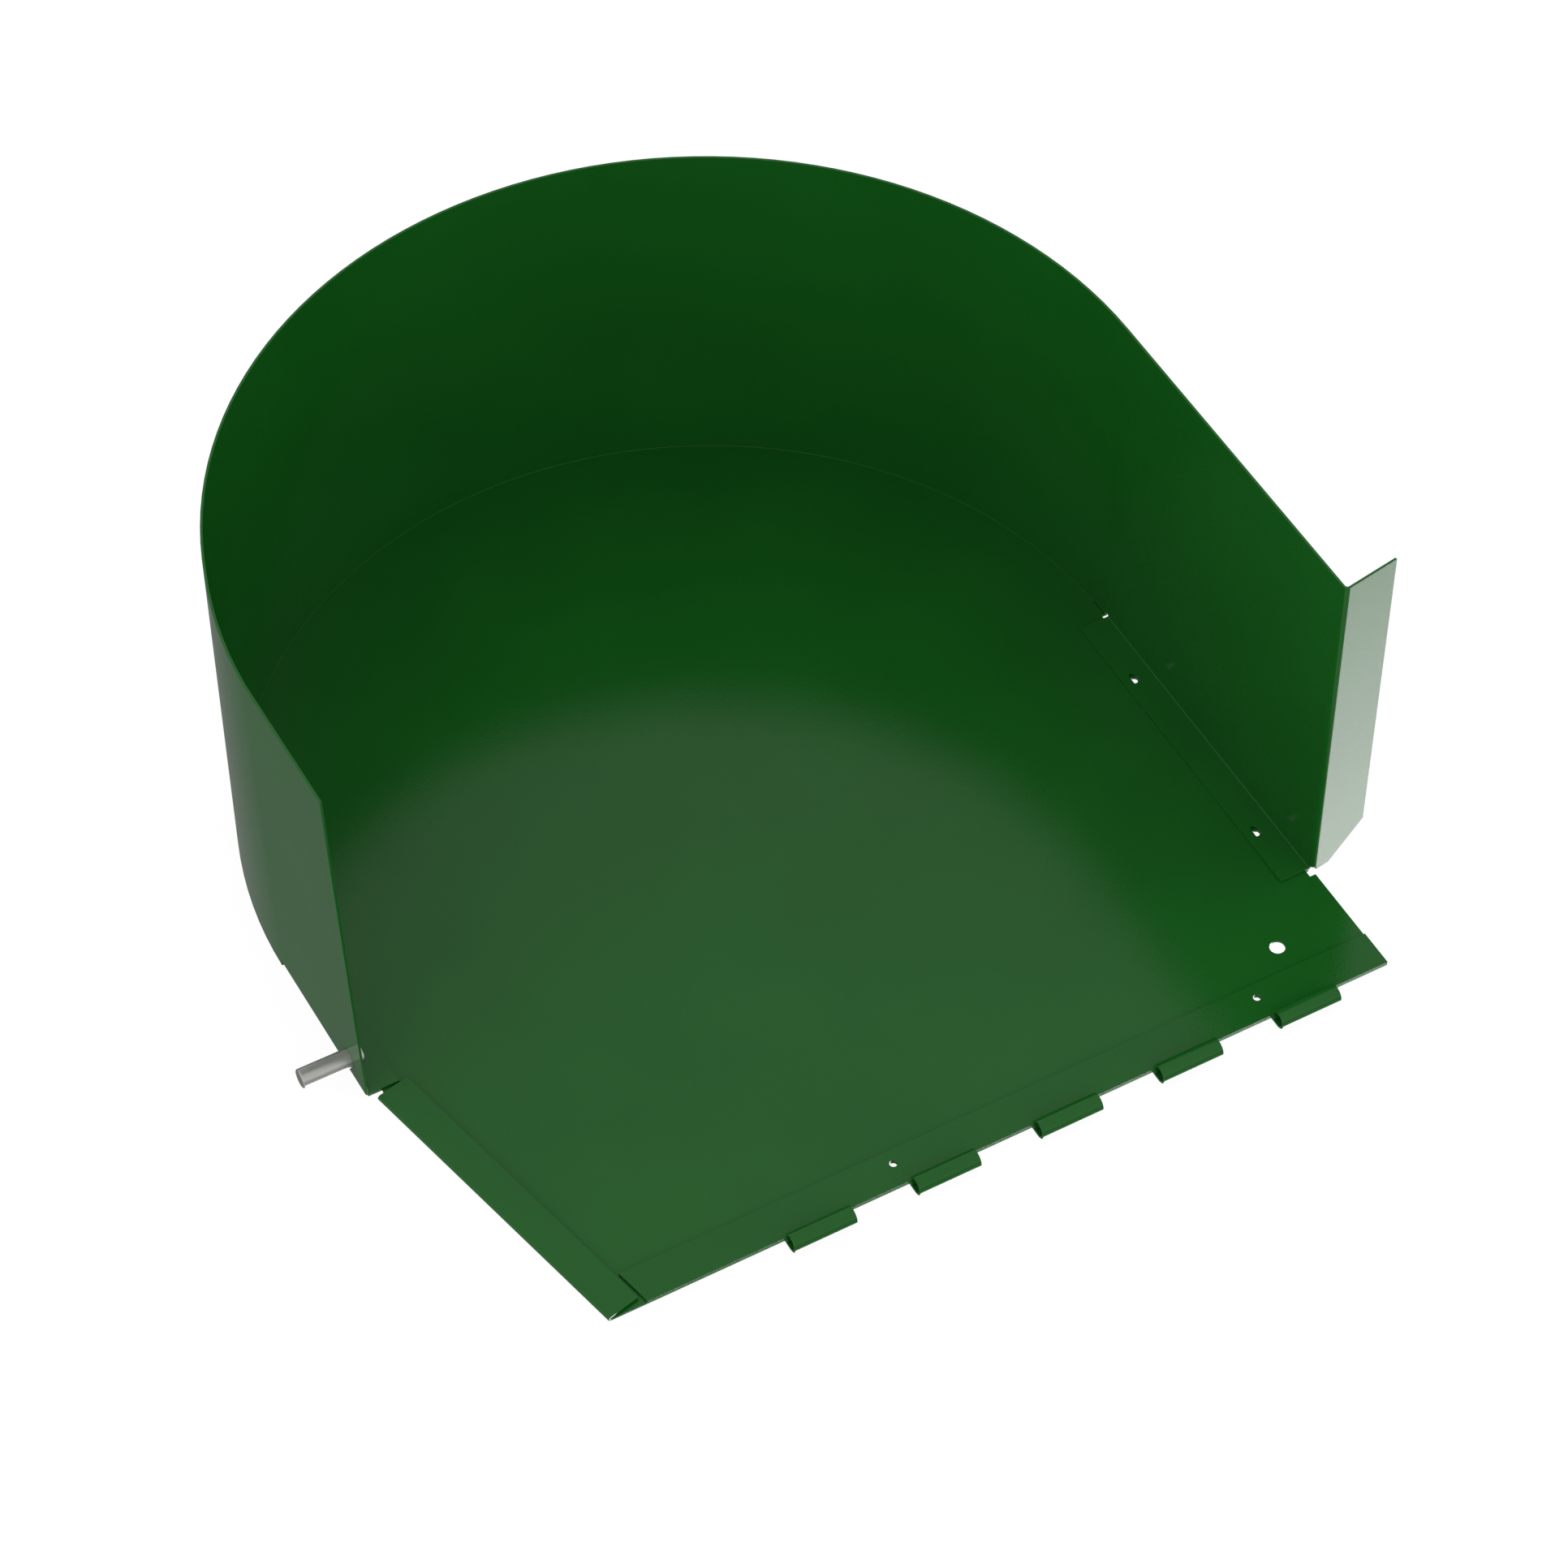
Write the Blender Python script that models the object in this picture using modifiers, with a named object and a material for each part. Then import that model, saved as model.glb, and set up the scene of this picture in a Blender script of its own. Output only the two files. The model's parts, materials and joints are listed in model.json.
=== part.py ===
"""Folding discharge hopper section of a gravity wagon: wall sheet, floor sheet, hinge leaf and stub pin.

Metres, +Z up. X runs along the hinge and +Y points to the round back of the hopper.
The origin is the centre of the round back, on the underside of the floor.
"""

import math

import bmesh
import bpy
from mathutils import Matrix, Vector

# Sheet metal
SHEET = 0.0019
BEND_RADIUS = 0.0019
FIT = 0.0003

# Wall sheet
WALL_RADIUS = 0.3556
WALL_HEIGHT = 0.3160
RIGHT_REACH = 0.2940
LEFT_REACH = 0.1205
LEFT_RAKE = math.radians(3.62)
LEFT_SPLAY = 0.0038
SPLAY_START = math.radians(162)
FRONT_FLANGE = 0.0462
FRONT_FLANGE_SWEEP = math.radians(9.2)
CHAMFER_LAND = 0.0143
CHAMFER_HEIGHT = 0.0303
FRONT_FLANGE_FOOT = 0.0027
FRONT_BEND_DROP = 0.0004
BOTTOM_FLANGE = 0.0274
BACK_RELIEF = 0.0044
CORNER_RELIEF = 0.0010
RIGHT_SETBACK = 0.0011
LEFT_SETBACK = 0.0009

# Bolt slots in the right bottom flange, with round holes below them in the floor
BOLT_SLOT_WIDTH = 0.0050
BOLT_SLOT_LENGTH = 0.0118
BOLT_HOLE = 0.0058
BOLT_EDGE = 0.0097
BOLT_BACK_MARGIN = 0.0649
BOLT_FRONT_MARGIN = 0.0491

# Floor sheet
FLOOR_APRON = 0.1017
FLOOR_SIDE_INSET = 0.0026
FLOOR_ARC_GAP = 0.0004
CORNER_NOTCH_DEPTH = 0.0049
CORNER_NOTCH_LENGTH = 0.0058
LEFT_NOTCH_DEPTH = 0.0135
LEFT_NOTCH_SETBACK = 0.0006
HEM_WIDTH = 0.0275
HEM_GAP = 0.0010
HEM_ANGLE = math.radians(12.5)
HEM_INSET = 0.0093
HEM_CLEARANCE = 0.0015
CORNER_HOLE = 0.0120
CORNER_HOLE_SIDE = 0.0624
CORNER_HOLE_FRONT = 0.0523

# Hinge leaf
LEAF_WIDTH = 0.0305
LEAF_HEM_GAP = 0.0028
LEAF_OVERHANG = 0.0002
LEAF_HOLE = 0.0060
LEAF_HOLE_FRONT = 0.0188
LEAF_HOLE_RIGHT = 0.1017
LEAF_HOLE_SPACING = 0.3070
KNUCKLE_BORE = 0.0110
KNUCKLE_LENGTH = 0.0504
KNUCKLE_PITCH = 0.1016
KNUCKLE_RIGHT_MARGIN = 0.0517
KNUCKLE_SETBACK = 0.0017
KNUCKLE_SEAM = 0.0005

# Stub pin
PIN_DIAMETER = 0.0150
PIN_OUTSIDE = 0.0396
PIN_INSIDE = 0.0078
PIN_SETBACK = 0.0246
PIN_HEIGHT = 0.0214
PIN_CHAMFER = 0.0006

# Facets
ARC_STEPS = 72
BEND_STEPS = 6
HEM_STEPS = 10
CURL_STEPS = 30
HOLE_STEPS = 32
PIN_STEPS = 48

# Colour, roughness and metallic value of each finish
PAINT = ((0.010, 0.100, 0.016), 0.28, 0.0)
STEEL = ((0.42, 0.42, 0.40), 0.38, 1.0)

# Levels
UNDERSIDE = 0.0
ON_FLOOR = UNDERSIDE + SHEET + FIT
BEND_OUTER = BEND_RADIUS + SHEET
BEND_TOP = ON_FLOOR + BEND_OUTER
RIM = UNDERSIDE + WALL_HEIGHT

# Wall plan positions
FLANGE_INNER = WALL_RADIUS - BOTTOM_FLANGE
RIGHT_FLANGE_FRONT = RIGHT_SETBACK - RIGHT_REACH
LEFT_LEAN = (RIM - BEND_TOP) * math.tan(LEFT_RAKE)
LEFT_FOOT = -(LEFT_REACH + LEFT_LEAN)
LEFT_FLANGE_FRONT = LEFT_FOOT + LEFT_SETBACK
PIN_Y = LEFT_FOOT + PIN_SETBACK
PIN_Z = UNDERSIDE + PIN_HEIGHT

# Floor plan positions
FLOOR_FRONT = -(RIGHT_REACH + FLOOR_APRON)
FLOOR_SIDE = WALL_RADIUS - FLOOR_SIDE_INSET
APRON_SIDE = WALL_RADIUS
NOTCH_SIDE = WALL_RADIUS - CORNER_NOTCH_DEPTH
LEFT_NOTCH_X = LEFT_NOTCH_DEPTH - WALL_RADIUS
LEFT_NOTCH_BACK = LEFT_FLANGE_FRONT + LEFT_NOTCH_SETBACK
FLOOR_ARC = WALL_RADIUS - SHEET - FLOOR_ARC_GAP
HEM_SLOPE = math.tan(HEM_ANGLE)
HEM_RADIUS = SHEET + HEM_GAP / 2
HEM_INWARD = Vector((math.cos(HEM_ANGLE), math.sin(HEM_ANGLE), 0))
HEM_BACK_X = HEM_INSET - WALL_RADIUS
HEM_BACK_Y = LEFT_FLANGE_FRONT - HEM_CLEARANCE - (BOTTOM_FLANGE - HEM_INSET) * HEM_SLOPE
HEM_BACK = Vector((HEM_BACK_X, HEM_BACK_Y, UNDERSIDE))
HEM_FRONT_X = HEM_BACK_X + (HEM_BACK_Y - FLOOR_FRONT) * HEM_SLOPE
HEM_FRONT = Vector((HEM_FRONT_X, FLOOR_FRONT, UNDERSIDE))

# Leaf plan positions
LEAF_FRONT = FLOOR_FRONT - LEAF_OVERHANG
LEAF_BACK = LEAF_FRONT + LEAF_WIDTH
LEAF_RIGHT = APRON_SIDE
LEAF_LEFT = HEM_FRONT_X + (HEM_WIDTH - HEM_RADIUS + LEAF_HEM_GAP) / math.cos(HEM_ANGLE)
LEAF_LEFT_FRONT = LEAF_LEFT + LEAF_OVERHANG * HEM_SLOPE
LEAF_LEFT_BACK = LEAF_LEFT_FRONT - LEAF_WIDTH * HEM_SLOPE
KNUCKLE_RADIUS = KNUCKLE_BORE / 2 + SHEET
KNUCKLE_LAST = LEAF_RIGHT - KNUCKLE_RIGHT_MARGIN - KNUCKLE_LENGTH
KNUCKLE_COUNT = 1 + int((KNUCKLE_LAST - LEAF_LEFT_FRONT - KNUCKLE_LENGTH) / KNUCKLE_PITCH)
KNUCKLE_AXIS_Y = LEAF_FRONT - KNUCKLE_SETBACK - KNUCKLE_RADIUS
KNUCKLE_TURN = 2 * math.pi - math.acos(1 - (SHEET + KNUCKLE_SEAM) / KNUCKLE_RADIUS)

# Hole centres in plan
BOLT_X = FLANGE_INNER + BOLT_EDGE
BOLT_HOLES = [
    (BOLT_X, -BACK_RELIEF - BOLT_BACK_MARGIN),
    (BOLT_X, RIGHT_FLANGE_FRONT + BOLT_FRONT_MARGIN),
]
LEAF_HOLES = [
    (LEAF_RIGHT - LEAF_HOLE_RIGHT, LEAF_FRONT + LEAF_HOLE_FRONT),
    (LEAF_RIGHT - LEAF_HOLE_RIGHT - LEAF_HOLE_SPACING, LEAF_FRONT + LEAF_HOLE_FRONT),
]
CORNER_HOLES = [(APRON_SIDE - CORNER_HOLE_SIDE, FLOOR_FRONT + CORNER_HOLE_FRONT)]


def new_collection(name):
    """Collection linked to the scene."""
    group = bpy.data.collections.new(name)
    bpy.context.scene.collection.children.link(group)
    return group


def new_material(name, finish):
    """Principled material from a colour, a roughness and a metallic value."""
    colour, roughness, metallic = finish
    material = bpy.data.materials.new(name)
    material.use_nodes = True
    shader = material.node_tree.nodes["Principled BSDF"]
    shader.inputs["Base Color"].default_value = (*colour, 1)
    shader.inputs["Roughness"].default_value = roughness
    shader.inputs["Metallic"].default_value = metallic
    return material


def new_object(name, bm, group, material=None):
    """Named object from a bmesh, in a collection."""
    mesh = bpy.data.meshes.new(name)
    bm.to_mesh(mesh)
    bm.free()
    obj = bpy.data.objects.new(name, mesh)
    group.objects.link(obj)
    if material:
        mesh.materials.append(material)
    return obj


def new_cutter(name, bm, group):
    """Cutter object, kept out of the finished part."""
    cutter = new_object(name, bm, group)
    cutter.hide_render = True
    cutter.display_type = "WIRE"
    return cutter


def add_rod(bm, radius, low, high, steps):
    """Closed cylinder between two points."""
    axis = high - low
    turn = Vector((0, 0, 1)).rotation_difference(axis).to_matrix().to_4x4()
    place = Matrix.Translation((low + high) / 2) @ turn
    bmesh.ops.create_cone(
        bm, cap_ends=True, segments=steps, radius1=radius, radius2=radius,
        depth=axis.length, matrix=place,
    )


def arc_points(centre, radius, start, end, steps):
    """Plan points along an arc, both ends included."""
    angles = [start + (end - start) * i / steps for i in range(steps + 1)]
    return [(centre[0] + radius * math.cos(a), centre[1] + radius * math.sin(a)) for a in angles]


def add_verts(bm, points, level):
    """Vertices at plan points on one level."""
    return [bm.verts.new((x, y, level)) for x, y in points]


def upright_drill(name, diameter, centres, group):
    """Drill that runs past both faces of every sheet stacked at the floor."""
    bm = bmesh.new()
    for x, y in centres:
        low = Vector((x, y, UNDERSIDE - SHEET))
        high = Vector((x, y, ON_FLOOR + 2 * SHEET))
        add_rod(bm, diameter / 2, low, high, HOLE_STEPS)
    return new_cutter(name, bm, group)


def slot_cutter(name, width, length, centres, group):
    """Slots along Y that run past both faces of every sheet stacked at the floor."""
    bm = bmesh.new()
    half = HOLE_STEPS // 2
    reach = (length - width) / 2
    height = ON_FLOOR + 2 * SHEET - (UNDERSIDE - SHEET)
    for x, y in centres:
        plan = arc_points((x, y + reach), width / 2, 0, math.pi, half)
        plan += arc_points((x, y - reach), width / 2, math.pi, 2 * math.pi, half)
        face = bm.faces.new(add_verts(bm, plan, UNDERSIDE - SHEET))
        made = bmesh.ops.extrude_face_region(bm, geom=[face])["geom"]
        top = [item for item in made if isinstance(item, bmesh.types.BMVert)]
        bmesh.ops.translate(bm, vec=(0, 0, height), verts=top)
    bmesh.ops.recalc_face_normals(bm, faces=bm.faces[:])
    return new_cutter(name, bm, group)


def add_line(bm, points, level):
    """Chain of edges through plan points on one level."""
    verts = add_verts(bm, points, level)
    return [bm.edges.new(pair) for pair in zip(verts, verts[1:])]


def pull(bm, edges, step):
    """Extrude edges by a step and return the far edges."""
    made = bmesh.ops.extrude_edge_only(bm, edges=edges)["geom"]
    verts = [item for item in made if isinstance(item, bmesh.types.BMVert)]
    bmesh.ops.translate(bm, vec=step, verts=verts)
    far = set(verts)
    return [
        item for item in made
        if isinstance(item, bmesh.types.BMEdge) and far.issuperset(item.verts)
    ]


def curl(bm, edges, centre, axis, angle, steps):
    """Sweep edges round an axis and return the last edges."""
    made = bmesh.ops.spin(bm, geom=edges, cent=centre, axis=axis, angle=angle, steps=steps)
    return [item for item in made["geom_last"] if isinstance(item, bmesh.types.BMEdge)]


def edges_at(bm, axis, value):
    """Edges that lie in the plane where one coordinate has a value."""
    near = FIT / 10
    return [
        edge for edge in bm.edges
        if all(abs(vert.co[axis] - value) < near for vert in edge.verts)
    ]


def new_sheet(name, bm, point, outward, group, material):
    """Sheet of even thickness behind an outer surface; outward is its normal near a point."""
    bmesh.ops.recalc_face_normals(bm, faces=bm.faces[:])
    face = min(bm.faces, key=lambda f: (f.calc_center_median() - point).length)
    if face.normal.dot(outward) < 0:
        bmesh.ops.reverse_faces(bm, faces=bm.faces[:])
    obj = new_object(name, bm, group, material)
    solid = obj.modifiers.new("sheet", "SOLIDIFY")
    solid.thickness = SHEET
    solid.offset = -1
    solid.use_even_offset = True
    solid.use_quality_normals = True
    return obj


def cut(obj, cutters):
    """Cut an object with each cutter in turn."""
    for cutter in cutters:
        drill = obj.modifiers.new(cutter.name, "BOOLEAN")
        drill.operation = "DIFFERENCE"
        drill.solver = "EXACT"
        drill.object = cutter


def front_corner_cutter(group):
    """Block that takes the lower outer corner off the front flange."""
    out = Vector((math.cos(FRONT_FLANGE_SWEEP), math.sin(FRONT_FLANGE_SWEEP), 0))
    up = Vector((0, 0, 1))
    corner = Vector((WALL_RADIUS, -RIGHT_REACH, UNDERSIDE))
    inner = corner + out * CHAMFER_LAND + up * FRONT_FLANGE_FOOT
    outer = corner + out * FRONT_FLANGE + up * CHAMFER_HEIGHT
    along = (outer - inner).normalized()
    across = up.cross(out)
    down = across.cross(along)
    side = 2 * (outer - inner).length
    centre = (inner + outer) / 2 + down * side / 2
    place = Matrix.Translation(centre) @ Matrix((along, down, across)).transposed().to_4x4()
    bm = bmesh.new()
    bmesh.ops.create_cube(bm, size=side, matrix=place)
    return new_cutter("front_corner", bm, group)


def build_wall(group, material, cutters):
    """Rolled wall: outward front flange, straight sides, round back, inward bottom flanges."""
    turn = math.pi / 2 + FRONT_FLANGE_SWEEP
    bend_y = BEND_RADIUS * math.tan(turn / 2) - RIGHT_REACH
    bend_centre = (WALL_RADIUS + BEND_RADIUS, bend_y)
    flange_end = (
        WALL_RADIUS + FRONT_FLANGE * math.cos(FRONT_FLANGE_SWEEP),
        FRONT_FLANGE * math.sin(FRONT_FLANGE_SWEEP) - RIGHT_REACH,
    )
    plan = [flange_end]
    plan += arc_points(bend_centre, BEND_RADIUS, math.pi + turn, math.pi, BEND_STEPS)
    plan += [(WALL_RADIUS, bend_y + CORNER_RELIEF), (WALL_RADIUS, -BACK_RELIEF)]
    plan += arc_points((0, 0), WALL_RADIUS, 0, math.pi, ARC_STEPS)
    plan += [(-WALL_RADIUS, y) for y in (-BACK_RELIEF, LEFT_FLANGE_FRONT, LEFT_FOOT)]

    bm = bmesh.new()
    line = add_line(bm, plan, BEND_TOP)
    front = line[:BEND_STEPS + 1]
    right = line[BEND_STEPS + 2]
    back = line[BEND_STEPS + 4:BEND_STEPS + 4 + ARC_STEPS]
    left, toe = line[-2:]

    rim = pull(bm, line, Vector((0, 0, RIM - BEND_TOP)))
    left_rim = {vert for edge in rim for vert in edge.verts if vert.co.x < 0}
    for vert in left_rim:
        round_by = math.atan2(max(vert.co.y, 0), vert.co.x)
        vert.co.x -= LEFT_SPLAY * max(round_by - SPLAY_START, 0) / (math.pi - SPLAY_START)
        if vert.co.y < LEFT_FLANGE_FRONT + FIT / 10:
            vert.co.y += LEFT_LEAN
    pull(bm, back, Vector((0, 0, UNDERSIDE - BEND_TOP)))
    bend_foot = BEND_TOP - FRONT_BEND_DROP
    front_foot = pull(bm, front, Vector((0, 0, bend_foot - BEND_TOP)))
    flat = max(front_foot, key=lambda edge: edge.verts[0].co.x + edge.verts[1].co.x)
    pull(bm, [flat], Vector((0, 0, UNDERSIDE + FRONT_FLANGE_FOOT - bend_foot)))

    for edge, side in ((right, 1), (left, -1)):
        axis_point = Vector((side * (WALL_RADIUS - BEND_OUTER), 0, BEND_TOP))
        foot = curl(bm, [edge], axis_point, Vector((0, 1, 0)), side * math.pi / 2, BEND_STEPS)
        pull(bm, foot, Vector((side * (BEND_OUTER - BOTTOM_FLANGE), 0, 0)))
    tab = [
        edge for edge in edges_at(bm, 1, bend_y + CORNER_RELIEF)
        if all(vert.co.z < bend_foot - CORNER_RELIEF for vert in edge.verts)
    ]
    pull(bm, tab, Vector((0, RIGHT_FLANGE_FRONT - bend_y - CORNER_RELIEF, 0)))

    top_back = Vector((0, WALL_RADIUS, RIM))
    wall = new_sheet("side_wall", bm, top_back, Vector((0, 1, 0)), group, material)
    cut(wall, cutters)
    return wall


def build_floor(group, material, cutters):
    """Floor plate with a round back, two corner notches and a folded hem on the slanted side."""
    plan = arc_points((0, 0), FLOOR_ARC, 0, math.pi, ARC_STEPS)
    plan += [
        (-NOTCH_SIDE, 0),
        (-NOTCH_SIDE, -CORNER_NOTCH_LENGTH),
        (-FLOOR_SIDE, -CORNER_NOTCH_LENGTH),
        (-FLOOR_SIDE, LEFT_NOTCH_BACK),
        (LEFT_NOTCH_X, LEFT_NOTCH_BACK),
        (LEFT_NOTCH_X, HEM_BACK_Y + (LEFT_NOTCH_X - HEM_BACK_X) * HEM_SLOPE),
        HEM_BACK.xy,
        HEM_FRONT.xy,
        (APRON_SIDE, FLOOR_FRONT),
        (APRON_SIDE, RIGHT_FLANGE_FRONT - CORNER_NOTCH_LENGTH),
        (NOTCH_SIDE, RIGHT_FLANGE_FRONT - CORNER_NOTCH_LENGTH),
        (NOTCH_SIDE, RIGHT_FLANGE_FRONT),
        (FLOOR_SIDE, RIGHT_FLANGE_FRONT),
        (FLOOR_SIDE, -CORNER_NOTCH_LENGTH),
        (NOTCH_SIDE, -CORNER_NOTCH_LENGTH),
        (NOTCH_SIDE, 0),
    ]
    bm = bmesh.new()
    verts = add_verts(bm, plan, UNDERSIDE)
    bm.faces.new(verts)
    hem_at = ARC_STEPS + 7
    fold = bm.edges.get((verts[hem_at], verts[hem_at + 1]))
    axis_point = HEM_BACK + Vector((0, 0, HEM_RADIUS))
    top = curl(bm, [fold], axis_point, HEM_FRONT - HEM_BACK, -math.pi, HEM_STEPS)
    pull(bm, top, HEM_INWARD * (HEM_WIDTH - HEM_RADIUS))

    plate = new_sheet("floor_plate", bm, Vector((0, 0, UNDERSIDE)), Vector((0, 0, -1)), group, material)
    cut(plate, cutters)
    return plate


def build_leaf(group, material, cutters):
    """Hinge leaf: flat strip whose front tongues are rolled into knuckles."""
    starts = [KNUCKLE_LAST - i * KNUCKLE_PITCH for i in reversed(range(KNUCKLE_COUNT))]
    plan = [(LEAF_RIGHT, LEAF_BACK), (LEAF_LEFT_BACK, LEAF_BACK), (LEAF_LEFT_FRONT, LEAF_FRONT)]
    for start in starts:
        plan += [(start, LEAF_FRONT), (start + KNUCKLE_LENGTH, LEAF_FRONT)]
    plan += [(LEAF_RIGHT, LEAF_FRONT)]

    bm = bmesh.new()
    verts = add_verts(bm, plan, ON_FLOOR)
    bm.faces.new(verts)
    roots = [bm.edges.get(verts[3 + 2 * i:5 + 2 * i]) for i in range(KNUCKLE_COUNT)]
    tongues = pull(bm, roots, Vector((0, KNUCKLE_AXIS_Y - LEAF_FRONT, 0)))
    axis_point = Vector((0, KNUCKLE_AXIS_Y, ON_FLOOR + KNUCKLE_RADIUS))
    curl(bm, tongues, axis_point, Vector((1, 0, 0)), -KNUCKLE_TURN, CURL_STEPS)

    middle = Vector((0, LEAF_BACK, ON_FLOOR))
    leaf = new_sheet("hinge_leaf", bm, middle, Vector((0, 0, -1)), group, material)
    cut(leaf, cutters)
    return leaf


def build_pin(group, material):
    """Round stub pin that passes through the left side of the wall."""
    bm = bmesh.new()
    low = Vector((-WALL_RADIUS - PIN_OUTSIDE, PIN_Y, PIN_Z))
    high = Vector((-WALL_RADIUS + SHEET + PIN_INSIDE, PIN_Y, PIN_Z))
    add_rod(bm, PIN_DIAMETER / 2, low, high, PIN_STEPS)
    pin = new_object("stub_pin", bm, group, material)
    edge = pin.modifiers.new("edge", "BEVEL")
    edge.width = PIN_CHAMFER
    edge.segments = 1
    edge.limit_method = "ANGLE"
    return pin


def main():
    for obj in list(bpy.data.objects):
        bpy.data.objects.remove(obj)
    parts = new_collection("hopper_section")
    cutters = new_collection("cutters")
    slots = slot_cutter("bolt_slots", BOLT_SLOT_WIDTH, BOLT_SLOT_LENGTH, BOLT_HOLES, cutters)
    bolts = upright_drill("bolt_holes", BOLT_HOLE, BOLT_HOLES, cutters)
    rivets = upright_drill("leaf_holes", LEAF_HOLE, LEAF_HOLES, cutters)
    corner_hole = upright_drill("corner_hole", CORNER_HOLE, CORNER_HOLES, cutters)
    front_corner = front_corner_cutter(cutters)
    bm = bmesh.new()
    inside = Vector((-WALL_RADIUS + 2 * SHEET, PIN_Y, PIN_Z))
    outside = Vector((-WALL_RADIUS - SHEET, PIN_Y, PIN_Z))
    add_rod(bm, PIN_DIAMETER / 2 + FIT, inside, outside, PIN_STEPS)
    pin_hole = new_cutter("pin_hole", bm, cutters)

    build_wall(parts, new_material("wall_paint", PAINT), [slots, pin_hole, front_corner])
    build_floor(parts, new_material("floor_paint", PAINT), [bolts, rivets, corner_hole])
    build_leaf(parts, new_material("leaf_paint", PAINT), [rivets])
    build_pin(parts, new_material("pin_steel", STEEL))


main()
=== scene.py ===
"""Looks of the hopper section: painted sheets with rounded edges, a bare pin, studio light and camera."""

import json
import math

import bmesh
import bpy
from mathutils import Euler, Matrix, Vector

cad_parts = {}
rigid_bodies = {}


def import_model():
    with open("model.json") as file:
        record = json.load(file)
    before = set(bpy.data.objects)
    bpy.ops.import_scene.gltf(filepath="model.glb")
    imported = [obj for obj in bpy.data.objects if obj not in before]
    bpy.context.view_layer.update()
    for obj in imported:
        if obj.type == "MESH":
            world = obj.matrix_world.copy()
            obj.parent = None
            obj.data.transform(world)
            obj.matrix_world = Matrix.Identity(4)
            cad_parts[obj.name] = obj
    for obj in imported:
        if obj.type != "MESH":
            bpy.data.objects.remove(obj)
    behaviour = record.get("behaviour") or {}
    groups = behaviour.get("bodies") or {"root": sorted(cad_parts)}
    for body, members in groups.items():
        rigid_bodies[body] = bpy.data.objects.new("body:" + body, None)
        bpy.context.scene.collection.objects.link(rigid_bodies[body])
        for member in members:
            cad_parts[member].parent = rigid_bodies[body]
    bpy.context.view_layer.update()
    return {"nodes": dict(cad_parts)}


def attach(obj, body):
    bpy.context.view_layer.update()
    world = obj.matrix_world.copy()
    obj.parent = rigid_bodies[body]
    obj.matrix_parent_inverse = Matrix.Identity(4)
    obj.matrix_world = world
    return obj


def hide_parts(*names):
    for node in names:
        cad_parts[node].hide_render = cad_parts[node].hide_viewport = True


# Lengths are in metres, angles in degrees where they aren't converted here
# Sheet edges
PAINTED_EDGE = 0.00015
PIN_EDGE = 0.0002
EDGE_STEPS = 2
SHARP = math.radians(35)

# Clean-up of the CAD meshes
SAME_SPOT = 1e-6
SAME_RADIUS = 1e-5
FLAT = math.radians(0.1)

# Inside of the right bottom bend: its corner across and up, its CAD radius, and its finer radius here
BEND_CORNER = (0.3537, 0.0041)
BEND_RADIUS = 0.0019
TIGHT_RADIUS = 0.0009

# How far the bend's points may lie off its radius, and past its two ends
BEND_SLACK = 0.00005
BEND_OVERRUN = 0.0002

# Paint in the joint between the floor's round back edge and the wall
JOINT_GAP = 0.0004
FILLET = 0.00028
FILLET_FOOT = 0.0006
FILLET_STEPS = 4
FILLET_ENDS = 0.012

# Camera that took the photo, fitted to its outlines
CAMERA_AT = (-1.1790, -2.2422, 3.0235)
CAMERA_TURN = (39.966, 0.028, -29.104)
CAMERA_LENS = 119.46
CAMERA_SENSOR = 36.0
CAMERA_REACH = 50

# How far a noise has to rise to take a value, or a colour, from its low end to its high end
VALUE_SPREAD = (0.3, 0.7)
COLOUR_SPREAD = (0.35, 0.65)

# Paint; a noise is its scale per metre and its detail, a bump its strength and depth
PAINT_DARK = (0.0061, 0.0885, 0.0088, 1)
PAINT_LIGHT = (0.0067, 0.0955, 0.0096, 1)
PAINT_ROUGH = (0.09, 0.11)
PAINT_SPECULAR = 0.22
TONE_NOISE = (9, 3)
GLOSS_NOISE = (160, 4)
PEEL_NOISE = (900, 2)
PEEL_BUMP = (0.7, 0.0001)
WALL_SEED = 0.0
FLOOR_SEED = 1.7
LEAF_SEED = 3.1

# Bare steel, with its noise drawn out along the bar
STEEL_DARK = (0.365, 0.365, 0.35, 1)
STEEL_LIGHT = (0.44, 0.44, 0.425, 1)
STEEL_ROUGH = (0.34, 0.42)
STREAK_NOISE = (1800, 3)
STREAK_DRAW = (0.05, 1, 1)
STREAK_BUMP = (0.08, 0.0001)

# Studio: white sky, grey ground, and half the height of the change between them
WHITE = (1, 1, 1, 1)
SKY = 1.0
GROUND = 0.21
HORIZON = 0.05

# Soft cards in the studio: azimuth, elevation, angle of the edge, angle of the core, strength
KEY_CARD = (-14, -66, 27, 14, 6.9)
FRONT_CARD = (-90, -30, 80, 20, 0.3)
FILL_CARD = (-170, -20, 60, 10, 0.65)

# Studio floor
FLOOR_SIZE = 12.0
FLOOR_DROP = 0.0004
FLOOR_WHITE = 0.93
FLOOR_SHADOW = (0.10, 0.10, 0.10, 1)


def new_tree(owner):
    """Empty node tree of a material or the world."""
    owner.use_nodes = True
    owner.node_tree.nodes.clear()
    return owner.node_tree


def add_node(tree, kind, sockets=None, **settings):
    """Node with its settings, and with constant values on its sockets."""
    node = tree.nodes.new(kind)
    for key, value in settings.items():
        setattr(node, key, value)
    for socket, value in (sockets or {}).items():
        node.inputs[socket].default_value = value
    return node


def link(tree, start, out, end, into):
    """Link from an output to an input."""
    tree.links.new(start.outputs[out], end.inputs[into])


def add_noise(tree, place, scale, detail):
    """Noise at a scale per metre."""
    noise = add_node(tree, "ShaderNodeTexNoise", {"Scale": scale, "Detail": detail})
    link(tree, place, "Vector", noise, "Vector")
    return noise


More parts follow.
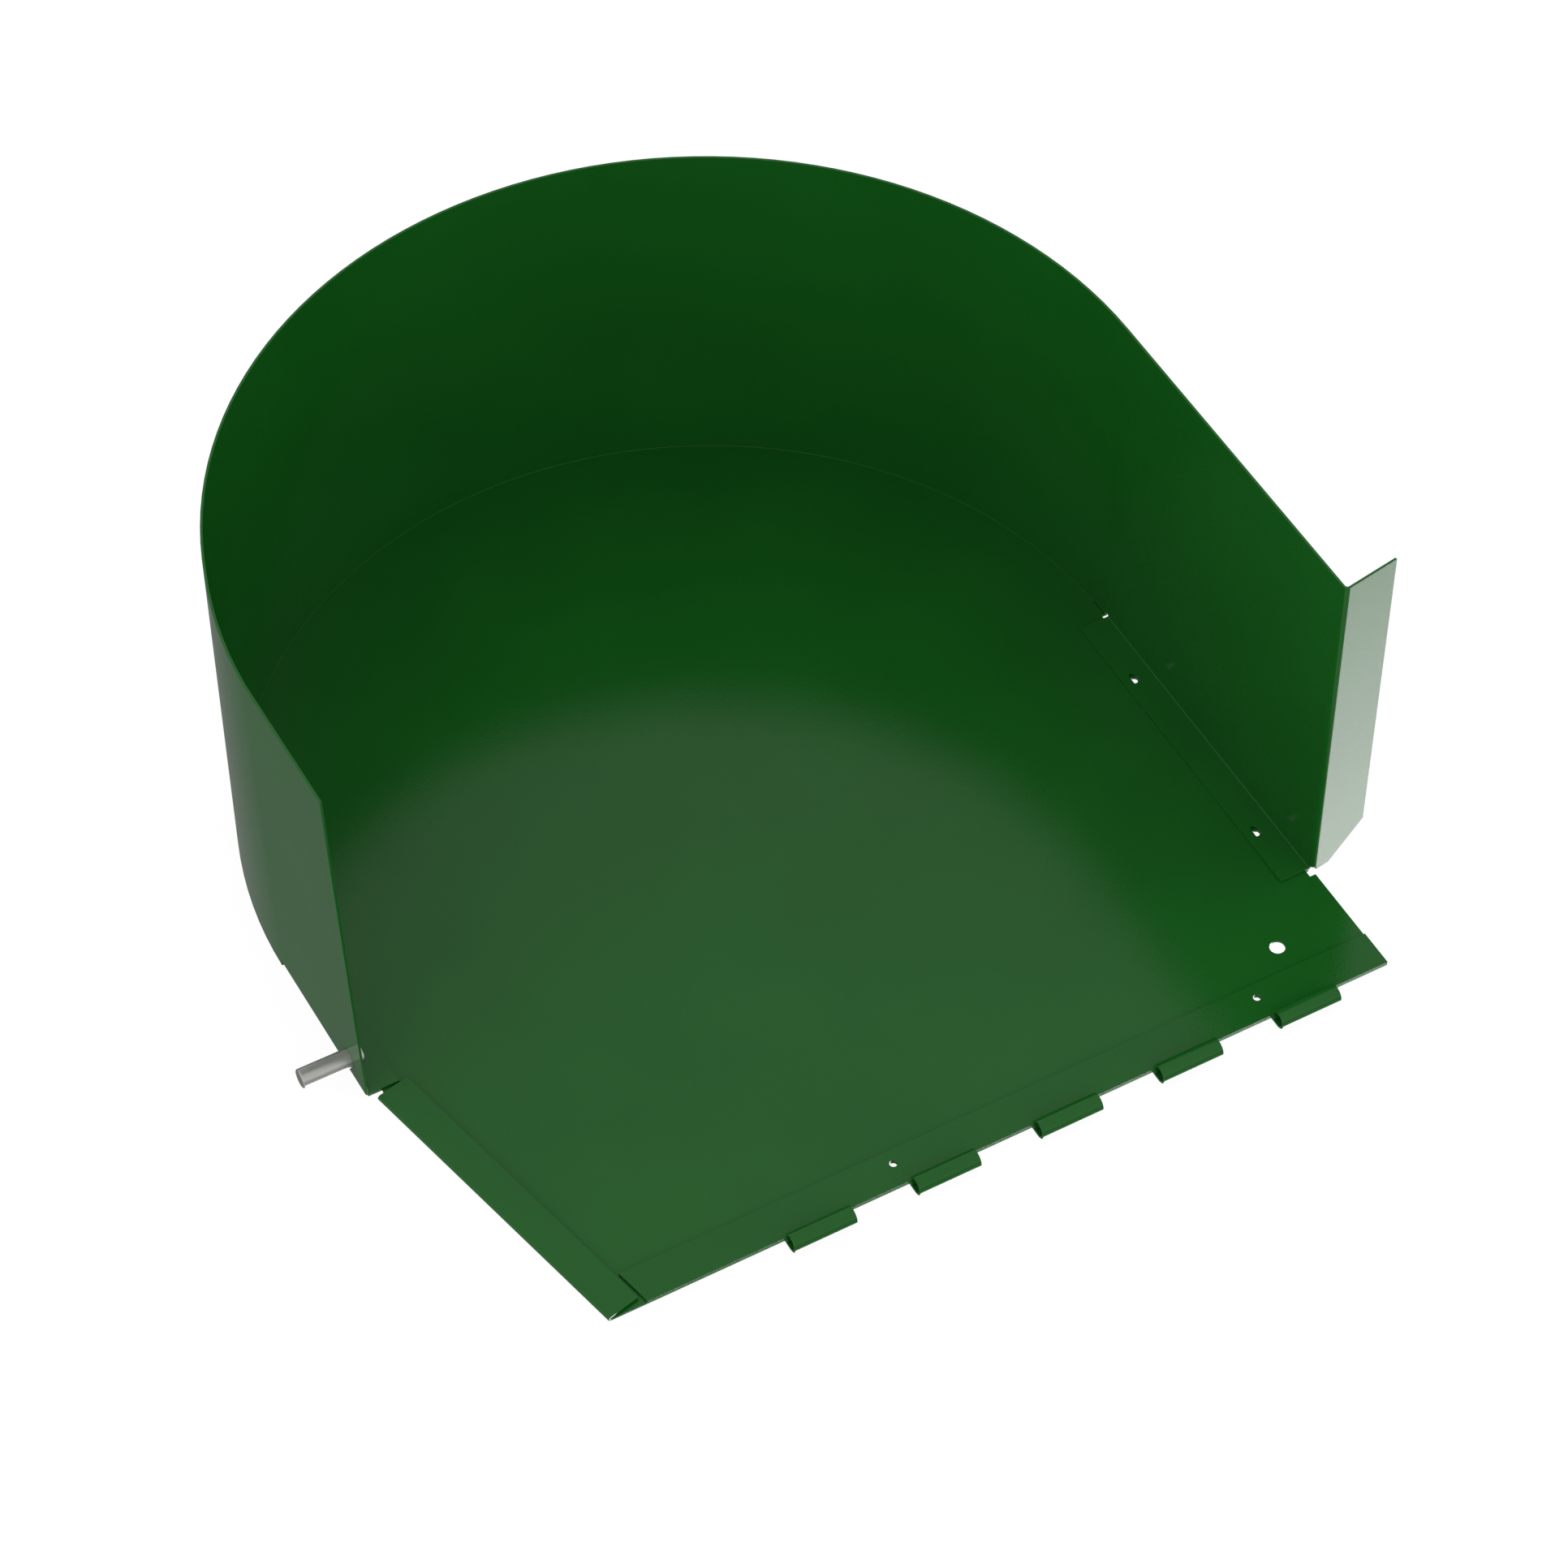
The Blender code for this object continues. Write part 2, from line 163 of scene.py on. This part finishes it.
def add_range(tree, source, out, spread, reach, **settings):
    """Value that goes from one end of its reach to the other as its source crosses the spread."""
    sockets = {"From Min": spread[0], "From Max": spread[1], "To Min": reach[0], "To Max": reach[1]}
    value = add_node(tree, "ShaderNodeMapRange", sockets, **settings)
    link(tree, source, out, value, "Value")
    return value


def add_colours(tree, noise, dark, light):
    """Colour between two tones that follows a noise."""
    ramp = add_node(tree, "ShaderNodeValToRGB")
    for stop, position, colour in zip(ramp.color_ramp.elements, COLOUR_SPREAD, (dark, light)):
        stop.position = position
        stop.color = colour
    link(tree, noise, "Fac", ramp, "Fac")
    return ramp


def add_bump(tree, noise, strength, depth):
    """Bump from a noise."""
    bump = add_node(tree, "ShaderNodeBump", {"Strength": strength, "Distance": depth})
    link(tree, noise, "Fac", bump, "Height")
    return bump


def new_material(name):
    """Material with its tree, a mapping of the object's own coordinates, and its shader."""
    material = bpy.data.materials.new(name)
    tree = new_tree(material)
    spot = add_node(tree, "ShaderNodeTexCoord")
    place = add_node(tree, "ShaderNodeMapping")
    link(tree, spot, "Object", place, "Vector")
    shader = add_node(tree, "ShaderNodeBsdfPrincipled")
    end = add_node(tree, "ShaderNodeOutputMaterial")
    link(tree, shader, "BSDF", end, "Surface")
    return material, tree, place, shader


def finish_surface(tree, shader, tone, gloss, bump):
    """Give the shader its colour, gloss and bump."""
    link(tree, tone, "Color", shader, "Base Color")
    link(tree, gloss, "Result", shader, "Roughness")
    link(tree, bump, "Normal", shader, "Normal")


def paint(name, seed):
    """Gloss enamel on sheet steel: soft tone changes, orange peel and a slightly uneven gloss."""
    material, tree, place, shader = new_material(name)
    place.inputs["Location"].default_value = (seed, 2 * seed, 3 * seed)
    shader.inputs["Specular IOR Level"].default_value = PAINT_SPECULAR
    tone = add_colours(tree, add_noise(tree, place, *TONE_NOISE), PAINT_DARK, PAINT_LIGHT)
    gloss = add_range(tree, add_noise(tree, place, *GLOSS_NOISE), "Fac", VALUE_SPREAD, PAINT_ROUGH)
    peel = add_bump(tree, add_noise(tree, place, *PEEL_NOISE), *PEEL_BUMP)
    finish_surface(tree, shader, tone, gloss, peel)
    return material


def steel(name):
    """Cold-drawn bar: fine streaks along its length."""
    material, tree, place, shader = new_material(name)
    place.inputs["Scale"].default_value = STREAK_DRAW
    shader.inputs["Metallic"].default_value = 1
    streaks = add_noise(tree, place, *STREAK_NOISE)
    tone = add_colours(tree, streaks, STEEL_DARK, STEEL_LIGHT)
    gloss = add_range(tree, streaks, "Fac", VALUE_SPREAD, STEEL_ROUGH)
    finish_surface(tree, shader, tone, gloss, add_bump(tree, streaks, *STREAK_BUMP))
    return material


def new_mesh(name, bm, material):
    """Mesh made from a finished bmesh, with its material."""
    mesh = bpy.data.meshes.new(name)
    bm.to_mesh(mesh)
    bm.free()
    mesh.materials.append(material)
    return mesh


def new_object(name, data):
    """Object linked to the scene."""
    item = bpy.data.objects.new(name, data)
    bpy.context.scene.collection.objects.link(item)
    return item


def new_piece(name, bm, material):
    """Smooth-shaded piece of the part from a finished bmesh."""
    mesh = new_mesh(name, bm, material)
    mesh.shade_smooth()
    mesh.set_sharp_from_angle(angle=SHARP)
    piece = new_object(name, mesh)
    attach(piece, "root")
    return piece


def tighten_bend(bm):
    """Tighten the inside of the right bottom bend to the fine highlight that the photo shows there."""
    corner = Vector(BEND_CORNER)
    centre = corner + Vector((-BEND_RADIUS, BEND_RADIUS))
    tight = corner + Vector((-TIGHT_RADIUS, TIGHT_RADIUS))
    for vert in bm.verts:
        arm = vert.co.xz - centre
        within = arm.x > -BEND_OVERRUN and arm.y < BEND_OVERRUN
        if within and abs(arm.length - BEND_RADIUS) < BEND_SLACK:
            vert.co.xz = tight + arm * TIGHT_RADIUS / BEND_RADIUS


def rounded(name, node, edge, material, adjust=None):
    """Piece with the node's shape, adjusted if need be, with rounded edges, which stands for the node."""
    bm = bmesh.new()
    bm.from_mesh(frame["nodes"][node].data)
    bmesh.ops.remove_doubles(bm, verts=bm.verts[:], dist=SAME_SPOT)
    bmesh.ops.dissolve_limit(bm, angle_limit=FLAT, verts=bm.verts[:], edges=bm.edges[:])
    if adjust:
        adjust(bm)
    piece = new_piece(name, bm, material)
    bevel = piece.modifiers.new("edge", "BEVEL")
    bevel.width = edge
    bevel.segments = EDGE_STEPS
    bevel.limit_method = "ANGLE"
    bevel.angle_limit = SHARP
    even = piece.modifiers.new("even", "WEIGHTED_NORMAL")
    even.weight = 100
    even.keep_sharp = True
    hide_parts(node)


def joint_fillet(name, material):
    """Fine hollow fillet of paint that closes the joint round the back, between floor and wall."""
    back = [vert.co for vert in frame["nodes"]["floor_plate"].data.vertices if vert.co.y > FILLET_ENDS]
    reach = max(spot.xy.length for spot in back)
    rim = [spot for spot in back if spot.xy.length > reach - SAME_RADIUS]
    top = max(spot.z for spot in rim)
    wall = reach + JOINT_GAP
    cover = reach - PAINTED_EDGE
    section = [(wall, top - FILLET_FOOT), (cover, top - FILLET_FOOT), (cover, top)]
    for step in range(FILLET_STEPS + 1):
        turn = math.pi / 2 * step / FILLET_STEPS
        section.append((wall - FILLET + FILLET * math.sin(turn), top + FILLET - FILLET * math.cos(turn)))
    bm = bmesh.new()
    rings = []
    for turn in sorted({round(math.atan2(spot.y, spot.x), 4) for spot in rim}):
        rings.append([bm.verts.new((r * math.cos(turn), r * math.sin(turn), z)) for r, z in section])
    for ring, after in zip(rings, rings[1:]):
        for i in range(len(section)):
            bm.faces.new((ring[i - 1], ring[i], after[i], after[i - 1]))
    bm.faces.new(rings[0])
    bm.faces.new(rings[-1])
    bmesh.ops.recalc_face_normals(bm, faces=bm.faces[:])
    new_piece(name, bm, material)


def add_card(tree, spot, azimuth, elevation, edge, core, strength):
    """Soft round card of light in one direction."""
    towards = Euler((0, -math.radians(elevation), math.radians(azimuth))).to_matrix() @ Vector((1, 0, 0))
    aim = add_node(tree, "ShaderNodeVectorMath", {1: towards}, operation="DOT_PRODUCT")
    link(tree, spot, "Generated", aim, 0)
    spread = (math.cos(math.radians(edge)), math.cos(math.radians(core)))
    return add_range(tree, aim, "Value", spread, (0, strength), interpolation_type="SMOOTHSTEP")


def build_world():
    """White to the camera; a white sky, a grey ground and three soft cards to the object."""
    world = bpy.data.worlds.new("studio")
    bpy.context.scene.world = world
    tree = new_tree(world)
    spot = add_node(tree, "ShaderNodeTexCoord")
    level = add_node(tree, "ShaderNodeSeparateXYZ")
    link(tree, spot, "Generated", level, 0)
    horizon = (-HORIZON, HORIZON)
    total = add_range(tree, level, "Z", horizon, (GROUND, SKY), interpolation_type="SMOOTHSTEP")
    for card in (KEY_CARD, FRONT_CARD, FILL_CARD):
        add = add_node(tree, "ShaderNodeMath", operation="ADD")
        link(tree, total, 0, add, 0)
        link(tree, add_card(tree, spot, *card), "Result", add, 1)
        total = add
    light = add_node(tree, "ShaderNodeBackground", {"Color": WHITE})
    link(tree, total, 0, light, "Strength")
    white = add_node(tree, "ShaderNodeBackground", {"Color": WHITE, "Strength": 1.0})
    ray = add_node(tree, "ShaderNodeLightPath")
    seen = add_node(tree, "ShaderNodeMath", operation="MAXIMUM")
    link(tree, ray, "Is Camera Ray", seen, 0)
    link(tree, ray, "Is Transmission Ray", seen, 1)
    both = add_node(tree, "ShaderNodeMixShader")
    link(tree, seen, 0, both, 0)
    link(tree, light, 0, both, 1)
    link(tree, white, 0, both, 2)
    end = add_node(tree, "ShaderNodeOutputWorld")
    link(tree, both, 0, end, "Surface")


def build_floor():
    """Pale studio floor, lit through from below: white to the camera, with a faint shadow."""
    material = bpy.data.materials.new("studio_floor")
    tree = new_tree(material)
    glow = add_node(tree, "ShaderNodeEmission", {"Color": WHITE, "Strength": FLOOR_WHITE})
    shade = add_node(tree, "ShaderNodeBsdfDiffuse", {"Color": FLOOR_SHADOW})
    seen = add_node(tree, "ShaderNodeAddShader")
    link(tree, glow, 0, seen, 0)
    link(tree, shade, 0, seen, 1)
    end = add_node(tree, "ShaderNodeOutputMaterial")
    link(tree, seen, 0, end, "Surface")
    bm = bmesh.new()
    bmesh.ops.create_grid(bm, x_segments=1, y_segments=1, size=FLOOR_SIZE / 2)
    floor = new_object("studio_floor", new_mesh("studio_floor", bm, material))
    floor.location.z = -FLOOR_DROP
    floor.visible_glossy = False
    floor.visible_diffuse = False
    floor.visible_shadow = False


def build_camera():
    """Camera at the photo's place, with its field of view."""
    camera = bpy.data.cameras.new("photo_camera")
    camera.sensor_width = CAMERA_SENSOR
    camera.sensor_fit = "HORIZONTAL"
    camera.lens = CAMERA_LENS
    camera.clip_end = CAMERA_REACH
    camera.dof.use_dof = False
    stand = new_object("photo_camera", camera)
    stand.location = CAMERA_AT
    stand.rotation_euler = Euler([math.radians(turn) for turn in CAMERA_TURN])
    bpy.context.scene.camera = stand


for item in list(bpy.data.objects):
    bpy.data.objects.remove(item)

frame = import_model()
bpy.context.scene.view_settings.view_transform = "Standard"
build_camera()
build_world()
build_floor()
wall_enamel = paint("wall_enamel", WALL_SEED)
floor_enamel = paint("floor_enamel", FLOOR_SEED)
leaf_enamel = paint("leaf_enamel", LEAF_SEED)
rounded("wall_sheet", "side_wall", PAINTED_EDGE, wall_enamel, tighten_bend)
rounded("floor_sheet", "floor_plate", PAINTED_EDGE, floor_enamel)
rounded("leaf_sheet", "hinge_leaf", PAINTED_EDGE, leaf_enamel)
rounded("pin_bar", "stub_pin", PIN_EDGE, steel("drawn_steel"))
joint_fillet("joint_paint", floor_enamel)

bpy.context.view_layer.update()
